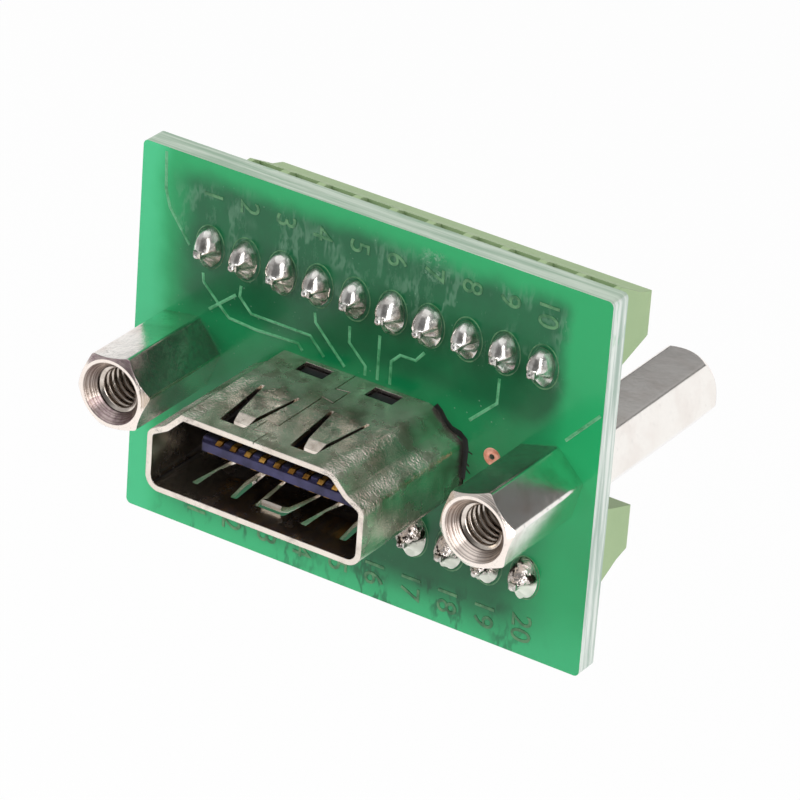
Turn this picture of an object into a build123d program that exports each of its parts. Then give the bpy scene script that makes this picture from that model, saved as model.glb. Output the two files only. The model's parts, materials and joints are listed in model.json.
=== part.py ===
from build123d import *
import math
import os

os.makedirs("parts", exist_ok=True)

# A panel mounted socket for digital video on a small board, with screw terminals behind.
# X runs to the right, Y from the mouth to the rear and Z up. The origin lies half way
# between the two front standoffs, in the plane where their faces meet the panel.

# Fixing standoffs, in millimetres
hole_spacing = 24.99
hex_flats = 4.5
hex_corner_round = 0.3
front_length = 7.5
rear_length = 14.05
end_face_diameter = 4.3
front_chamfer_depth = 0.45
rear_chamfer_depth = 0.8
thread_diameter = 2.84
thread_depth = 6.4
drill_tip_depth = 0.7
countersink_diameter = 3.9
countersink_depth = 0.75
stud_clearance = 0.03
stud_length = 6.0
stud_chamfer = 0.3
left_front_turn = 9.0
right_front_turn = 16.0
rear_turn = 51.0

# Circuit board
board_width = 32.0
board_height = 24.2
board_thickness = 1.6
board_corner_round = 0.35
board_centre_x = -0.15
board_centre_z = 0.4
stud_hole_clearance = 0.2
pin_hole_clearance = 0.12
pin_hole_sides = 8
via_diameter = 0.5
via_x = 8.9
via_z = 0.3

# Socket shell of folded sheet
shell_wall = 0.35
shell_half_width = 7.4
shell_knee_height = 3.75
shell_step_half_width = 6.2
shell_step_height = 4.4
shell_top_half_width = 5.15
shell_height = 5.45
shell_depth = 10.4
shell_centre_x = -0.4
shell_bottom_z = -3.2
shell_foot_round = 0.95
shell_knee_round = 0.6
shell_step_round = 0.7
shell_top_round = 0.95
seam_x = -0.2
seam_width = 0.07
seam_depth = 0.12
seam_key_width = 0.85
seam_key_flare = 0.2
front_key_start = 1.45
front_key_length = 1.05
rear_key_start = 7.0
rear_key_length = 1.3
window_width = 1.9
window_length = 1.2
window_start = 8.8
leg_width = 0.9
leg_spacing = 1.7
leg_centre_height = 2.1
leg_overhang = 0.9
leg_slot_clearance = 0.15

# Spring fingers with a free tip and side springs held at both ends, cut from the shell
leaf_hold = 0.5
opening_corner_round = 0.15
leaf_bend_round = 0.35
finger_root_slot = 0.23
finger_tip_slot = 0.36
finger_hook = 0.7
finger_bend_dip = 0.1
finger_tip_dip = 0.42
top_finger_offset = 2.4
top_finger_root = 6.0
top_finger_front = 1.05
top_finger_gap = 0.95
top_finger_root_half = 1.36
top_finger_front_half = 0.84
middle_finger_root = 5.2
middle_finger_front = 1.75
middle_finger_gap = 0.2
middle_finger_root_half = 1.35
middle_finger_front_half = 1.0
side_spring_offset = 3.75
side_spring_root = 5.3
side_spring_front = 1.65
side_spring_root_half = 1.22
side_spring_front_half = 1.57
side_spring_slot = 0.42
side_spring_bow = 0.2

# Moulded insulator with its tongue
insulator_start = 7.0
insulator_clearance = 0.04
tongue_half_width = 5.15
tongue_start = 2.1
tongue_bottom_height = 2.15
tongue_thickness = 0.95
tongue_round = 0.28
tongue_lip_length = 0.3
tongue_lip_drop = 0.2
groove_side_gap = 0.09
bump_clearance = 0.2
bump_recess = 0.25

# Contacts of the socket
contact_pitch = 1.0
upper_contact_count = 9
lower_contact_count = 10
contact_width = 0.36
contact_thickness = 0.2
contact_proud = 0.03
contact_end_recess = 0.12
contact_end_drop = 0.15
contact_end_slope = 0.25
contact_bend_start = 8.7
tail_row_offset = 1.3
tail_overhang = 1.0

# Screw terminal blocks
pole_pitch = 2.54
pole_count = 10
row_centre_x = 0.3
row_centre_z = 0.25
row_spacing = 13.7
block_width = 25.6
block_height = 7.9
block_inner = 2.45
block_outer = 3.2
block_inner_knee = 4.0
block_outer_knee = 4.2
block_fold = 6.65
block_fold_outer = 1.95
block_rear_inner = 1.2
block_rear_outer = 1.6
block_edge_round = 0.2
screw_axis_offset = 0.2

# Chambers inside the blocks
chamber_width = 2.0
chamber_inner = 1.65
chamber_outer = 1.3
upper_chamber_inner = 0.9
entry_floor = 0.7
entry_top = 4.7
head_seat = 6.5
head_side_clearance = 0.07
head_end_clearance = 0.05
driver_hole_diameter = 1.7

# Clamp screws
screw_diameter = 1.4
head_diameter = 1.86
head_height = 0.95
head_slot_width = 0.35
head_slot_depth = 0.45
tip_clearance = 0.03
screw_turn_step = 37.0

# Clamp cages, lowered to take a wire
cage_side_clearance = 0.06
cage_side_wall = 0.21
cage_floor = 0.5
cage_nut = 0.85
cage_half_length = 1.0
cage_bore_clearance = 0.03
cage_bore_sides = 12
clamp_travel = 1.2
clamp_end_gap = 0.1
nut_bar_gap = 0.25

# Terminal strips and their pins
bar_underside = 3.4
bar_thickness = 0.5
bar_reach = 1.1
strip_thickness = 0.35
strip_clearance = 0.08
foot_underside = 0.2
pin_width = 0.5
pin_depth = 0.4
pin_overhang = 1.5
pin_taper = 0.12

# Solder joints
joint_width = 1.8
joint_length = 2.65
joint_corner = 0.55
joint_foot_height = 0.65
joint_foot_taper = 12.0
joint_crown_height = 0.6
joint_crown_taper = 24.0
tail_joint_size = 0.84
leg_joint_border = 0.35
rear_joint_height = 0.55
tail_joint_taper = 15.0
leg_joint_taper = 35.0

# Places worked out from the sizes above
board_front = front_length
board_back = board_front + board_thickness
mouth = board_front - shell_depth
corner_radius = hex_flats / math.sqrt(3)
half_spacing = hole_spacing / 2
tongue_middle_height = tongue_bottom_height + tongue_thickness / 2
leg_x = shell_half_width - shell_wall / 2
pole_span = (pole_count - 1) * pole_pitch
row_heights = {
    "upper": row_centre_z + row_spacing / 2,
    "lower": row_centre_z - row_spacing / 2,
}
row_turns = {"upper": 0, "lower": 180}


# A plane across Y at this depth, whose sketches read as X and Z
def plane_at(depth):
    return Plane.XZ.offset(-depth)


# Puts a finished piece in its place and writes it under its own name
def write_piece(piece, name, place=Location()):
    placed = piece.moved(place)
    placed.label = name
    export_step(placed, f"parts/{name}.step")


# Half of the outline that turning leaves on a hexagon bar, chamfered from Y = 0
def turned_blank(chamfer_depth, length):
    slope_radius = corner_radius + 0.05
    with BuildSketch() as outline:
        with BuildLine():
            Polyline(
                (0, 0),
                (end_face_diameter / 2, 0),
                (slope_radius, chamfer_depth),
                (slope_radius, length),
                (0, length),
                close=True,
            )
        make_face()
    return outline.sketch


# Half section of a countersunk, drilled and tapped hole that starts at Y = 0
def tapped_bore():
    with BuildSketch() as section:
        with BuildLine():
            Polyline(
                (0, 0),
                (countersink_diameter / 2, 0),
                (thread_diameter / 2, countersink_depth),
                (thread_diameter / 2, thread_depth),
                (0, thread_depth + drill_tip_depth),
                close=True,
            )
        make_face()
    return section.sketch


# Front standoff: a hexagon with a tapped bore and a stud that passes through the board
with BuildPart() as front_standoff:
    with BuildSketch(plane_at(0)):
        RegularPolygon(hex_flats / 2, 6, major_radius=False)
        fillet(vertices(), hex_corner_round)
    extrude(amount=-front_length)
    add(turned_blank(front_chamfer_depth, front_length))
    revolve(axis=Axis.Y, mode=Mode.INTERSECT)
    add(tapped_bore())
    revolve(axis=Axis.Y, mode=Mode.SUBTRACT)
    with BuildSketch(plane_at(front_length)):
        Circle(thread_diameter / 2 - stud_clearance)
    extrude(amount=-stud_length)
    chamfer(faces().sort_by(Axis.Y)[-1].edges(), stud_chamfer)

# Rear standoff, built from its free end: tapped at both ends, the inner one for the stud
with BuildPart() as rear_standoff:
    with BuildSketch(plane_at(0)):
        RegularPolygon(hex_flats / 2, 6, major_radius=False)
        fillet(vertices(), hex_corner_round)
    extrude(amount=-rear_length)
    add(turned_blank(rear_chamfer_depth, rear_length))
    revolve(axis=Axis.Y, mode=Mode.INTERSECT)
    add(tapped_bore())
    revolve(axis=Axis.Y, mode=Mode.SUBTRACT)
    with BuildSketch(plane_at(rear_length)):
        Circle(thread_diameter / 2)
    extrude(amount=stud_length, mode=Mode.SUBTRACT)

# Outline of the shell: wide below, stepped in at both shoulders, with rounded folds.
# The socket's own pieces are drawn from the middle of the mouth's lower edge.
with BuildSketch() as shell_outline:
    Polygon(
        (-shell_half_width, 0),
        (shell_half_width, 0),
        (shell_half_width, shell_knee_height),
        (shell_step_half_width, shell_step_height),
        (shell_top_half_width, shell_height),
        (-shell_top_half_width, shell_height),
        (-shell_step_half_width, shell_step_height),
        (-shell_half_width, shell_knee_height),
        align=None,
    )
    folds = (
        (0, shell_foot_round),
        (shell_knee_height, shell_knee_round),
        (shell_step_height, shell_step_round),
        (shell_height, shell_top_round),
    )
    for height, bend in folds:
        fillet(vertices().filter_by_position(Axis.Y, height, height), bend)


# A flat outline, the same on both sides of X = 0, from the points of its right edge
def mirrored_outline(edge):
    with BuildSketch() as outline:
        Polygon(*edge, *[(-x, y) for x, y in reversed(edge)], align=None)
    return outline.sketch


# An opening in the wall with rounded corners, widest and narrowest at its two ends
def wall_opening(root, front, root_half, front_half):
    with BuildSketch() as opening:
        add(mirrored_outline([(root_half, root), (front_half, front)]))
        fillet(vertices(), opening_corner_round)
    return opening.sketch


# A leaf of the wall's sheet: its side line in Y and Z, cut to the outline with this right
# edge. It is drawn from the middle of the sheet and bends towards -Z.
def spring_leaf(side_line, edge):
    leaf_reach = finger_tip_dip + shell_wall
    with BuildPart() as leaf:
        with BuildSketch(Plane.YZ):
            with BuildLine():
                FilletPolyline(*side_line, radius=leaf_bend_round)
            trace(line_width=shell_wall)
        extrude(amount=shell_half_width, both=True)
        with BuildSketch(Plane.XY.offset(-leaf_reach)):
            add(mirrored_outline(edge))
        extrude(amount=2 * leaf_reach, mode=Mode.INTERSECT)
    return leaf.part


# A finger in an opening from root to front: hinged at its root and hooked in at its tip
def free_finger(root, front, gap, root_half, front_half):
    tip = front + gap
    side_line = [
        (root + leaf_hold, 0),
        (root, 0),
        (tip + finger_hook, -finger_bend_dip),
        (tip, -finger_tip_dip),
    ]
    edge = [
        (root_half - finger_root_slot, root + leaf_hold),
        (root_half - finger_root_slot, root),
        (front_half - finger_tip_slot, tip),
    ]
    return spring_leaf(side_line, edge)


top_finger = free_finger(
    top_finger_root,
    top_finger_front,
    top_finger_gap,
    top_finger_root_half,
    top_finger_front_half,
)
middle_finger = free_finger(
    middle_finger_root,
    middle_finger_front,
    middle_finger_gap,
    middle_finger_root_half,
    middle_finger_front_half,
)
top_opening = wall_opening(
    top_finger_root,
    top_finger_front,
    top_finger_root_half,
    top_finger_front_half,
)
middle_opening = wall_opening(
    middle_finger_root,
    middle_finger_front,
    middle_finger_root_half,
    middle_finger_front_half,
)
side_opening = wall_opening(
    side_spring_root,
    side_spring_front,
    side_spring_root_half,
    side_spring_front_half,
)

# Side spring: a bowed strip between two slots, held at its root and at its front
side_spring = spring_leaf(
    [
        (side_spring_root + leaf_hold, 0),
        (side_spring_root, 0),
        ((side_spring_root + side_spring_front) / 2, -side_spring_bow),
        (side_spring_front, 0),
        (side_spring_front - leaf_hold, 0),
    ],
    [
        (side_spring_root_half - side_spring_slot, side_spring_root + leaf_hold),
        (side_spring_root_half - side_spring_slot, side_spring_root),
        (side_spring_front_half - side_spring_slot, side_spring_front),
        (side_spring_front_half - side_spring_slot, side_spring_front - leaf_hold),
    ],
)

top_finger_spots = [(-top_finger_offset, 0), (top_finger_offset, 0)]
side_spring_spots = [(-side_spring_offset, 0), (side_spring_offset, 0)]
window_middle = window_start + window_length / 2
window_spots = [(x, window_middle) for x, y in top_finger_spots]
front_key_end = front_key_start + front_key_length
rear_key_end = rear_key_start + rear_key_length
leg_middles = [leg_centre_height - leg_spacing / 2, leg_centre_height + leg_spacing / 2]
leg_spots = [(x, height) for x in (-leg_x, leg_x) for height in leg_middles]

# Shell, folded from one sheet: fingers, windows, interlocked seam and four legs
with BuildPart() as socket_shell:
    with BuildSketch(plane_at(shell_depth)):
        add(shell_outline.sketch)
        offset(shell_outline.sketch, amount=-shell_wall, mode=Mode.SUBTRACT)
    extrude(amount=shell_depth)
    with BuildSketch(Plane.XY.offset(shell_height - shell_wall)):
        with Locations(*top_finger_spots):
            add(top_opening)
        with Locations(*window_spots):
            Rectangle(window_width, window_length)
    extrude(amount=shell_wall, mode=Mode.SUBTRACT)
    with BuildSketch():
        with Locations(*side_spring_spots):
            add(side_opening)
        add(middle_opening)
    extrude(amount=shell_wall, mode=Mode.SUBTRACT)
    with BuildSketch(Plane.XY.offset(shell_height)):
        with BuildLine():
            Polyline(
                (seam_x, 0),
                (seam_x, front_key_start),
                (seam_x - seam_key_width, front_key_start - seam_key_flare),
                (seam_x - seam_key_width, front_key_end + seam_key_flare),
                (seam_x, front_key_end),
                (seam_x, rear_key_start),
                (seam_x + seam_key_width, rear_key_start - seam_key_flare),
                (seam_x + seam_key_width, rear_key_end + seam_key_flare),
                (seam_x, rear_key_end),
                (seam_x, shell_depth),
            )
        trace(line_width=seam_width)
    extrude(amount=-seam_depth, mode=Mode.SUBTRACT)
    with Locations(*[(x, 0, shell_height - shell_wall / 2) for x, y in top_finger_spots]):
        add(top_finger)
    with Locations(*[(x, 0, shell_wall / 2) for x, y in side_spring_spots]):
        add(side_spring, rotation=(0, 180, 0))
    with Locations((0, 0, shell_wall / 2)):
        add(middle_finger, rotation=(0, 180, 0))
    with BuildSketch(plane_at(shell_depth)):
        with Locations(*leg_spots):
            Rectangle(shell_wall, leg_width)
    extrude(amount=-(board_thickness + leg_overhang))

# One contact: turned in at its front end, flat along the tongue, bent outwards inside the
# insulator, then its tail
contact_height = tongue_thickness / 2 - contact_thickness / 2 + contact_proud
contact_rise = tail_row_offset - contact_height
contact_start = tongue_start + contact_end_recess
tail_end = shell_depth + board_thickness + tail_overhang
with BuildPart() as contact:
    with BuildSketch(Plane.YZ):
        with BuildLine():
            Polyline(
                (contact_start, contact_height - contact_end_drop),
                (contact_start + contact_end_slope, contact_height),
                (contact_bend_start, contact_height),
                (contact_bend_start + contact_rise, tail_row_offset),
                (tail_end, tail_row_offset),
            )
        trace(line_width=contact_thickness)
    extrude(amount=contact_width / 2, both=True)

with BuildPart() as upper_contacts:
    with Locations((0, 0, tongue_middle_height)):
        with GridLocations(contact_pitch, contact_pitch, upper_contact_count, 1):
            add(contact.part)

with BuildPart() as lower_contacts:
    with Locations((0, 0, tongue_middle_height)):
        with GridLocations(contact_pitch, contact_pitch, lower_contact_count, 1):
            add(contact.part, rotation=(0, 180, 0))

# Insulator: a block that plugs the rear of the shell, the tongue with a groove for every
# contact, and two locking bumps
groove_depth = contact_thickness - contact_proud
with BuildPart() as socket_housing:
    with BuildSketch(plane_at(shell_depth)):
        offset(shell_outline.sketch, amount=-shell_wall - insulator_clearance)
    extrude(amount=shell_depth - insulator_start)
    with BuildSketch(plane_at(insulator_start)):
        with Locations((0, tongue_middle_height)):
            Rectangle(2 * tongue_half_width, tongue_thickness)
    extrude(amount=insulator_start - tongue_start)
    fillet(faces().sort_by(Axis.Y)[0].edges(), tongue_round)
    with BuildSketch(plane_at(tongue_start + tongue_lip_length)):
        for lip_height in (
            tongue_bottom_height + tongue_lip_drop / 2,
            tongue_bottom_height + tongue_thickness - tongue_lip_drop / 2,
        ):
            with Locations((0, lip_height)):
                Rectangle(2 * tongue_half_width, tongue_lip_drop)
    extrude(amount=tongue_lip_length, mode=Mode.SUBTRACT)
    with BuildSketch(plane_at(insulator_start)):
        for count, groove_height in (
            (upper_contact_count, tongue_bottom_height + tongue_thickness - groove_depth / 2),
            (lower_contact_count, tongue_bottom_height + groove_depth / 2),
        ):
            with Locations((0, groove_height)):
                with GridLocations(contact_pitch, contact_pitch, count, 1):
                    Rectangle(contact_width + 2 * groove_side_gap, groove_depth)
    extrude(amount=insulator_start - contact_start, mode=Mode.SUBTRACT)
    with BuildSketch(Plane.XY.offset(shell_height - 2 * shell_wall)):
        with Locations(*window_spots):
            Rectangle(window_width - bump_clearance, window_length - bump_clearance)
    extrude(amount=2 * shell_wall - bump_recess)
    add(upper_contacts.part, mode=Mode.SUBTRACT)
    add(lower_contacts.part, mode=Mode.SUBTRACT)

# Board, drilled for everything that passes through it. The holes that solder covers are
# drawn with few sides.
pin_hole_radius = math.hypot(pin_width, pin_depth) / 2 + pin_hole_clearance
tail_hole_radius = math.hypot(contact_width, contact_thickness) / 2 + pin_hole_clearance
tail_middle_z = shell_bottom_z + tongue_middle_height
with BuildPart() as circuit_board:
    with BuildSketch(plane_at(board_front)):
        with Locations((board_centre_x, board_centre_z)):
            RectangleRounded(board_width, board_height, board_corner_round)
        with Locations((-half_spacing, 0), (half_spacing, 0)):
            Circle(thread_diameter / 2 + stud_hole_clearance, mode=Mode.SUBTRACT)
        for row_z in row_heights.values():
            with Locations((row_centre_x, row_z)):
                with GridLocations(pole_pitch, pole_pitch, pole_count, 1):
                    RegularPolygon(
                        pin_hole_radius, pin_hole_sides, major_radius=False, mode=Mode.SUBTRACT
                    )
        for count, tail_z in (
            (upper_contact_count, tail_middle_z + tail_row_offset),
            (lower_contact_count, tail_middle_z - tail_row_offset),
        ):
            with Locations((shell_centre_x, tail_z)):
                with GridLocations(contact_pitch, contact_pitch, count, 1):
                    RegularPolygon(
                        tail_hole_radius, pin_hole_sides, major_radius=False, mode=Mode.SUBTRACT
                    )
        with Locations(*[(shell_centre_x + x, shell_bottom_z + z) for x, z in leg_spots]):
            Rectangle(
                shell_wall + 2 * leg_slot_clearance,
                leg_width + 2 * leg_slot_clearance,
                mode=Mode.SUBTRACT,
            )
        with Locations((via_x, via_z)):
            Circle(via_diameter / 2, mode=Mode.SUBTRACT)
    extrude(amount=-board_thickness)

# The terminal pieces are drawn from the middle of their row on the rear of the board,
# with Y away from the board and Z towards the side where the wires go in.
bar_top = bar_underside + bar_thickness
cage_width = chamber_width - 2 * cage_side_clearance
cage_window = cage_width - 2 * cage_side_wall
cage_floor_top = bar_underside - clamp_travel - clamp_end_gap
nut_start = bar_top + nut_bar_gap
lip_start = head_seat + head_height + head_end_clearance
strip_inner = strip_clearance - chamber_inner
poles = GridLocations(pole_pitch, pole_pitch, pole_count, 1)

# Terminal block: a tapered housing with a wire entry and a screw hole for each pole
with BuildPart() as terminal_block:
    with BuildSketch(Plane.YZ):
        Polygon(
            (0, -block_inner),
            (block_inner_knee, -block_inner),
            (block_height, -block_rear_inner),
            (block_height, block_rear_outer),
            (block_fold, block_fold_outer),
            (block_outer_knee, block_outer),
            (0, block_outer),
            align=None,
        )
    extrude(amount=block_width / 2, both=True)
    fillet(faces().sort_by(Axis.Y)[-1].edges(), block_edge_round)
    with BuildSketch(plane_at(0)):
        with poles:
            with Locations((0, (chamber_outer - chamber_inner) / 2)):
                Rectangle(chamber_width, chamber_outer + chamber_inner)
    extrude(amount=-bar_top - tip_clearance, mode=Mode.SUBTRACT)
    with BuildSketch(plane_at(0)):
        with poles:
            with Locations((0, (chamber_outer - upper_chamber_inner) / 2)):
                Rectangle(chamber_width, chamber_outer + upper_chamber_inner)
    extrude(amount=-head_seat, mode=Mode.SUBTRACT)
    with BuildSketch(plane_at(entry_floor)):
        with poles:
            with Locations((0, (chamber_outer + block_outer) / 2)):
                Rectangle(chamber_width, block_outer - chamber_outer)
    extrude(amount=entry_floor - entry_top, mode=Mode.SUBTRACT)
    with BuildSketch(plane_at(head_seat)):
        with poles:
            with Locations((0, screw_axis_offset)):
                Circle(head_diameter / 2 + head_side_clearance)
    extrude(amount=head_seat - lip_start, mode=Mode.SUBTRACT)
    with BuildSketch(plane_at(block_height)):
        with poles:
            with Locations((0, screw_axis_offset)):
                Circle(driver_hole_diameter / 2)
    extrude(amount=block_height - lip_start, mode=Mode.SUBTRACT)

# Clamp screw, drawn about its own axis: the tip bears on the terminal bar
screw_tip = bar_top + tip_clearance
with BuildPart() as clamp_screw:
    with BuildSketch(plane_at(screw_tip)):
        Circle(screw_diameter / 2)
    extrude(amount=screw_tip - head_seat)
    with BuildSketch(plane_at(head_seat)):
        Circle(head_diameter / 2)
    extrude(amount=-head_height)
    with BuildSketch(plane_at(head_seat + head_height)):
        Rectangle(head_diameter, head_slot_width)
    extrude(amount=head_slot_depth, mode=Mode.SUBTRACT)

# Clamp cage, drawn about the screw's axis: a ring open along the wire, tapped at its top
with BuildPart() as clamp_cage:
    with BuildSketch():
        Polygon(
            (-cage_width / 2, cage_floor_top - cage_floor),
            (cage_width / 2, cage_floor_top - cage_floor),
            (cage_width / 2, nut_start + cage_nut),
            (-cage_width / 2, nut_start + cage_nut),
            align=None,
        )
        Polygon(
            (-cage_window / 2, cage_floor_top),
            (cage_window / 2, cage_floor_top),
            (cage_window / 2, nut_start),
            (-cage_window / 2, nut_start),
            align=None,
            mode=Mode.SUBTRACT,
        )
    extrude(amount=cage_half_length, both=True)
    with BuildSketch(plane_at(nut_start)):
        RegularPolygon(
            screw_diameter / 2 + cage_bore_clearance, cage_bore_sides, major_radius=False
        )
    extrude(amount=-cage_nut, mode=Mode.SUBTRACT)

# Terminal strip: the bar that the wire is clamped to, its riser, foot and solder pin
with BuildPart() as terminal_strip:
    with BuildSketch(Plane.YZ):
        Polygon(
            (bar_underside, bar_reach),
            (bar_underside, strip_inner + strip_thickness),
            (foot_underside + strip_thickness, strip_inner + strip_thickness),
            (foot_underside + strip_thickness, pin_depth / 2),
            (foot_underside, pin_depth / 2),
            (foot_underside, strip_inner),
            (bar_top, strip_inner),
            (bar_top, bar_reach),
            align=None,
        )
    extrude(amount=cage_window / 2 - strip_clearance, both=True)
    with BuildSketch(plane_at(foot_underside)):
        Rectangle(pin_width, pin_depth)
    extrude(amount=foot_underside + board_thickness + pin_overhang)
    chamfer(faces().sort_by(Axis.Y)[0].edges(), pin_taper)

with BuildPart() as terminal_strips:
    with poles:
        add(terminal_strip.part)

# Solder joint of a terminal pin: an upright mound on the front of the board, steep at its
# foot and drawn in to a crown round the pin
foot_draw = 2 * joint_foot_height * math.tan(math.radians(joint_foot_taper))
with BuildPart() as solder_joint:
    with BuildSketch(plane_at(-board_thickness)):
        Rectangle(joint_width, joint_length)
        chamfer(vertices(), joint_corner)
    extrude(amount=joint_foot_height, taper=joint_foot_taper)
    with BuildSketch(plane_at(-board_thickness - joint_foot_height)):
        Rectangle(joint_width - foot_draw, joint_length - foot_draw)
        chamfer(vertices(), joint_corner - foot_draw / 4)
    extrude(amount=joint_crown_height, taper=joint_crown_taper)
    add(terminal_strip.part, mode=Mode.SUBTRACT)

with BuildPart() as solder_joints:
    with poles:
        add(solder_joint.part)

# Solder joints of the socket, on the back of the board: a mound round every contact's tail
# and every leg of the shell
solder_face = shell_depth + board_thickness
with BuildPart() as tail_joints:
    with BuildSketch(plane_at(solder_face)):
        for count, tail_height in (
            (upper_contact_count, tongue_middle_height + tail_row_offset),
            (lower_contact_count, tongue_middle_height - tail_row_offset),
        ):
            with Locations((0, tail_height)):
                with GridLocations(contact_pitch, contact_pitch, count, 1):
                    Rectangle(tail_joint_size, tail_joint_size)
    extrude(amount=-rear_joint_height, taper=tail_joint_taper)
    add(upper_contacts.part, mode=Mode.SUBTRACT)
    add(lower_contacts.part, mode=Mode.SUBTRACT)

with BuildPart() as leg_joints:
    with BuildSketch(plane_at(solder_face)):
        with Locations(*leg_spots):
            Rectangle(shell_wall + 2 * leg_joint_border, leg_width + 2 * leg_joint_border)
    extrude(amount=-rear_joint_height, taper=leg_joint_taper)
    add(socket_shell.part, mode=Mode.SUBTRACT)

# Every piece in its place
socket_place = Location((shell_centre_x, mouth, shell_bottom_z))
rear_end = board_back + rear_length
for side, place_x, turn in (
    ("left", -half_spacing, left_front_turn),
    ("right", half_spacing, right_front_turn),
):
    front_place = Location((place_x, 0, 0), (0, -turn, 0))
    write_piece(front_standoff.part, f"front_standoff_{side}", front_place)
    rear_place = Location((place_x, rear_end, 0), (180, rear_turn, 0))
    write_piece(rear_standoff.part, f"rear_standoff_{side}", rear_place)
write_piece(circuit_board.part, "circuit_board")
write_piece(socket_shell.part, "socket_shell", socket_place)
write_piece(socket_housing.part, "socket_housing", socket_place)
write_piece(upper_contacts.part, "upper_contacts", socket_place)
write_piece(lower_contacts.part, "lower_contacts", socket_place)
write_piece(tail_joints.part, "tail_solder_joints", socket_place)
write_piece(leg_joints.part, "leg_solder_joints", socket_place)
for row, row_z in row_heights.items():
    row_place = Location((row_centre_x, board_back, row_z), (0, row_turns[row], 0))
    write_piece(terminal_block.part, f"{row}_terminal_block", row_place)
    write_piece(terminal_strips.part, f"{row}_terminal_strips", row_place)
    write_piece(solder_joints.part, f"{row}_solder_joints", row_place)
    for pole in range(pole_count):
        column = pole * pole_pitch - pole_span / 2
        if row == "lower":
            column = -column
        axis_place = row_place * Location((column, 0, screw_axis_offset))
        slot_turn = Location((0, 0, 0), (0, screw_turn_step * pole, 0))
        write_piece(clamp_screw.part, f"{row}_clamp_screw_{pole + 1}", axis_place * slot_turn)
        write_piece(clamp_cage.part, f"{row}_clamp_cage_{pole + 1}", axis_place)
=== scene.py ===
import bpy
import json
import math
import random
from mathutils import Matrix, Vector, noise


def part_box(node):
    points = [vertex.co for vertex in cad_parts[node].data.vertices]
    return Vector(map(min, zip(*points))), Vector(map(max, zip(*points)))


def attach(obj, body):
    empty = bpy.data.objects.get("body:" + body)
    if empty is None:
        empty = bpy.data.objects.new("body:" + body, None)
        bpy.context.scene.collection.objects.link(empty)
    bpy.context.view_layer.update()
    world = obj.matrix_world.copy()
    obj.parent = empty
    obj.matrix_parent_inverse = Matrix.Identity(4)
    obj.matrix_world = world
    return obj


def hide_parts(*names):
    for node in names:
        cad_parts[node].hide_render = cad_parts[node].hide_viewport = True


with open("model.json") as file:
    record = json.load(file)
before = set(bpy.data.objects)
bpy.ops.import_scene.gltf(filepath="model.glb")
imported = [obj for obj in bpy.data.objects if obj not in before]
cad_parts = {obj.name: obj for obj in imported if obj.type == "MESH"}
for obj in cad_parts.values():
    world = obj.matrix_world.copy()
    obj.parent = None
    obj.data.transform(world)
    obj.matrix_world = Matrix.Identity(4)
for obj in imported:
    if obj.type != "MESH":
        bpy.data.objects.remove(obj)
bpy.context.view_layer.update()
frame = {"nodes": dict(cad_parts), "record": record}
nodes = frame["nodes"]
mm = 0.001
polePitch = 2.54 * mm
poleCount = 10
bpy.ops.object.select_all(action="DESELECT")
print("frame loaded")

# Places read off the frame
boardLow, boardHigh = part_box("circuit_board")
shellLow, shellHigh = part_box("socket_shell")
boardFront = boardLow.y


def poleSpots(row):  # where a row's pins come through the board's front
    low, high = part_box(f"{row}_solder_joints")
    first = low.x + (high.x - low.x - (poleCount - 1) * polePitch) / 2
    height = (low.z + high.z) / 2
    return [(first + pole * polePitch, boardFront, height) for pole in range(poleCount)]


def pick(*pieces):
    bpy.ops.object.select_all(action="DESELECT")
    for piece in pieces:
        piece.select_set(True)
    bpy.context.view_layer.objects.active = pieces[0]


def openMesh(piece):  # edit mode with nothing selected
    pick(piece)
    bpy.ops.object.mode_set(mode="EDIT")
    bpy.ops.mesh.select_mode(type="FACE")
    bpy.ops.mesh.select_all(action="DESELECT")


def closeMesh():
    bpy.ops.object.mode_set(mode="OBJECT")


def settle(piece, place=(0, 0, 0), turn=(0, 0, 0), size=(1, 1, 1)):  # place goes into the mesh
    pick(piece)
    piece.location = place
    piece.rotation_euler = turn
    piece.scale = size
    bpy.ops.object.transform_apply(location=True, rotation=True, scale=True)


def roundOff(piece, angle=60):  # smooth wherever faces meet at less than this, in degrees
    pick(piece)
    bpy.ops.object.shade_smooth_by_angle(angle=math.radians(angle))


def outward(piece):
    openMesh(piece)
    bpy.ops.mesh.select_all(action="SELECT")
    bpy.ops.mesh.remove_doubles(threshold=1e-7)
    bpy.ops.mesh.normals_make_consistent(inside=False)
    closeMesh()


def copyOf(piece, name, shift=(0, 0, 0)):
    twin = bpy.data.objects.new(name, piece.data.copy())
    bpy.context.collection.objects.link(twin)
    twin.data.transform(Matrix.Translation(shift))
    return twin


def fuse(pieces, name):
    pick(*pieces)
    bpy.ops.object.join()
    whole = bpy.context.object
    whole.name = name
    return whole


def mount(piece, finish, body="socket_board"):
    piece.data.materials.clear()
    piece.data.materials.append(finish)
    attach(piece, body)
    return piece


def tone(red, green, blue):  # a colour given 0 to 255, made linear
    def linear(part):
        part = part / 255
        return part / 12.92 if part <= 0.04045 else ((part + 0.055) / 1.055) ** 2.4

    return (linear(red), linear(green), linear(blue), 1.0)


def reach(pair, start=0):  # a pair of distances in mm, as places from a start in metres
    return [start + part * mm for part in pair]


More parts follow.
